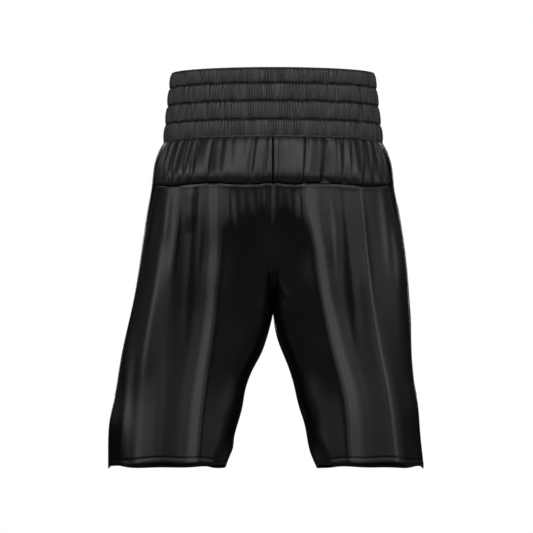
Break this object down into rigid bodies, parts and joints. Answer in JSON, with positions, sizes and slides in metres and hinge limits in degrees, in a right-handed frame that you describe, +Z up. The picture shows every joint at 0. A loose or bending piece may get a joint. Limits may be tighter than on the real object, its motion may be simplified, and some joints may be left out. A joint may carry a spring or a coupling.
{
  "type": "boxing shorts",
  "caption": "Loose satin boxing shorts with a wide multi-row elasticated waistband, a gathered yoke, tapering side panels and open side slits at the leg hems.",
  "frame": {"origin": "centre of the waist rim, the top of the waistband, where the wearer's waist passes", "axes": "+Z up along the wearer's body, +Y towards the wearer's back, +X towards the wearer's left"},
  "size_m": [0.4438, 0.2462, 0.55],
  "materials": {
    "satin": "glossy woven polyester satin, black",
    "satin_waistband": "shirred polyester satin over elastic, black",
    "satin_facing": "matt reverse side of satin, black",
    "elastic_web": "knitted elastic webbing, black",
    "thread": "spun polyester sewing thread, black",
    "label_tape": "blank woven label tape, off-white"
  },
  "bodies": {
    "garment": {"waistband_casing": "satin_waistband", "waistband_stitching": "thread", "waist_elastic_1": "elastic_web", "waist_elastic_2": "elastic_web", "waist_elastic_3": "elastic_web", "waist_elastic_4": "elastic_web", "side_panel_left": "satin", "back_yoke_left": "satin", "back_leg_left": "satin", "slit_facing_back_left": "satin_facing", "front_yoke_left": "satin", "front_leg_left": "satin", "slit_facing_front_left": "satin_facing", "side_seam_stitching_left": "thread", "inseam_stitching_left": "thread", "hem_stitching_left": "thread", "slit_bartack_left": "thread", "side_panel_right": "satin", "back_yoke_right": "satin", "back_leg_right": "satin", "slit_facing_back_right": "satin_facing", "front_yoke_right": "satin", "front_leg_right": "satin", "slit_facing_front_right": "satin_facing", "side_seam_stitching_right": "thread", "inseam_stitching_right": "thread", "hem_stitching_right": "thread", "slit_bartack_right": "thread", "yoke_stitching_back": "thread", "centre_stitching_back": "thread", "yoke_stitching_front": "thread", "centre_stitching_front": "thread"},
    "care_label": {"care_label": "label_tape"}
  },
  "joints": [
    {"name": "label_flip", "type": "hinge", "parent": "garment", "child": "care_label", "pos_m": [0, 0.1032, -0.097], "axis": [-1, 0, 0], "range_deg": [0, 160]}
  ]
}
